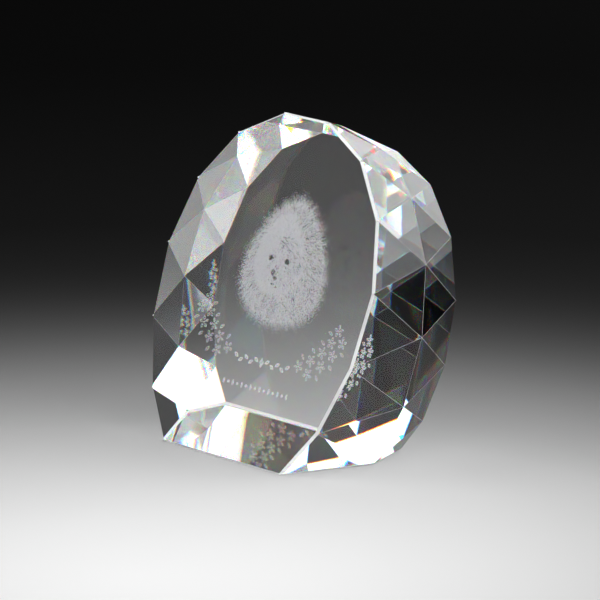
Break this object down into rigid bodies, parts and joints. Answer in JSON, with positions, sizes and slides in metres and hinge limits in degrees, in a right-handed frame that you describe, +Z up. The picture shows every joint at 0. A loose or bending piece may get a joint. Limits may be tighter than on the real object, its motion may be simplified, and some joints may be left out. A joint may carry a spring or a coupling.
{
  "type": "faceted crystal award",
  "caption": "Clear crystal block with a leaning oval front face, a zigzag of facets round its rim and a laser-engraved dog portrait, blossom sprays and ornament inside.",
  "frame": {"origin": "middle of the block's outline, on the ground face", "axes": "+X to the right along the front face, +Y to the back, +Z up"},
  "size_m": [0.0778, 0.0506, 0.0801],
  "materials": {
    "crystal": "polished clear optical crystal",
    "laser_marks": "white micro-fractures inside the crystal"
  },
  "bodies": {
    "root": {"crystal_block": "crystal", "engraved_face": "laser_marks", "engraved_mane": "laser_marks", "left_blossom_spray": "laser_marks", "right_blossom_spray": "laser_marks", "scroll_ornament": "laser_marks", "bead_row_ornament": "laser_marks"}
  },
  "joints": []
}
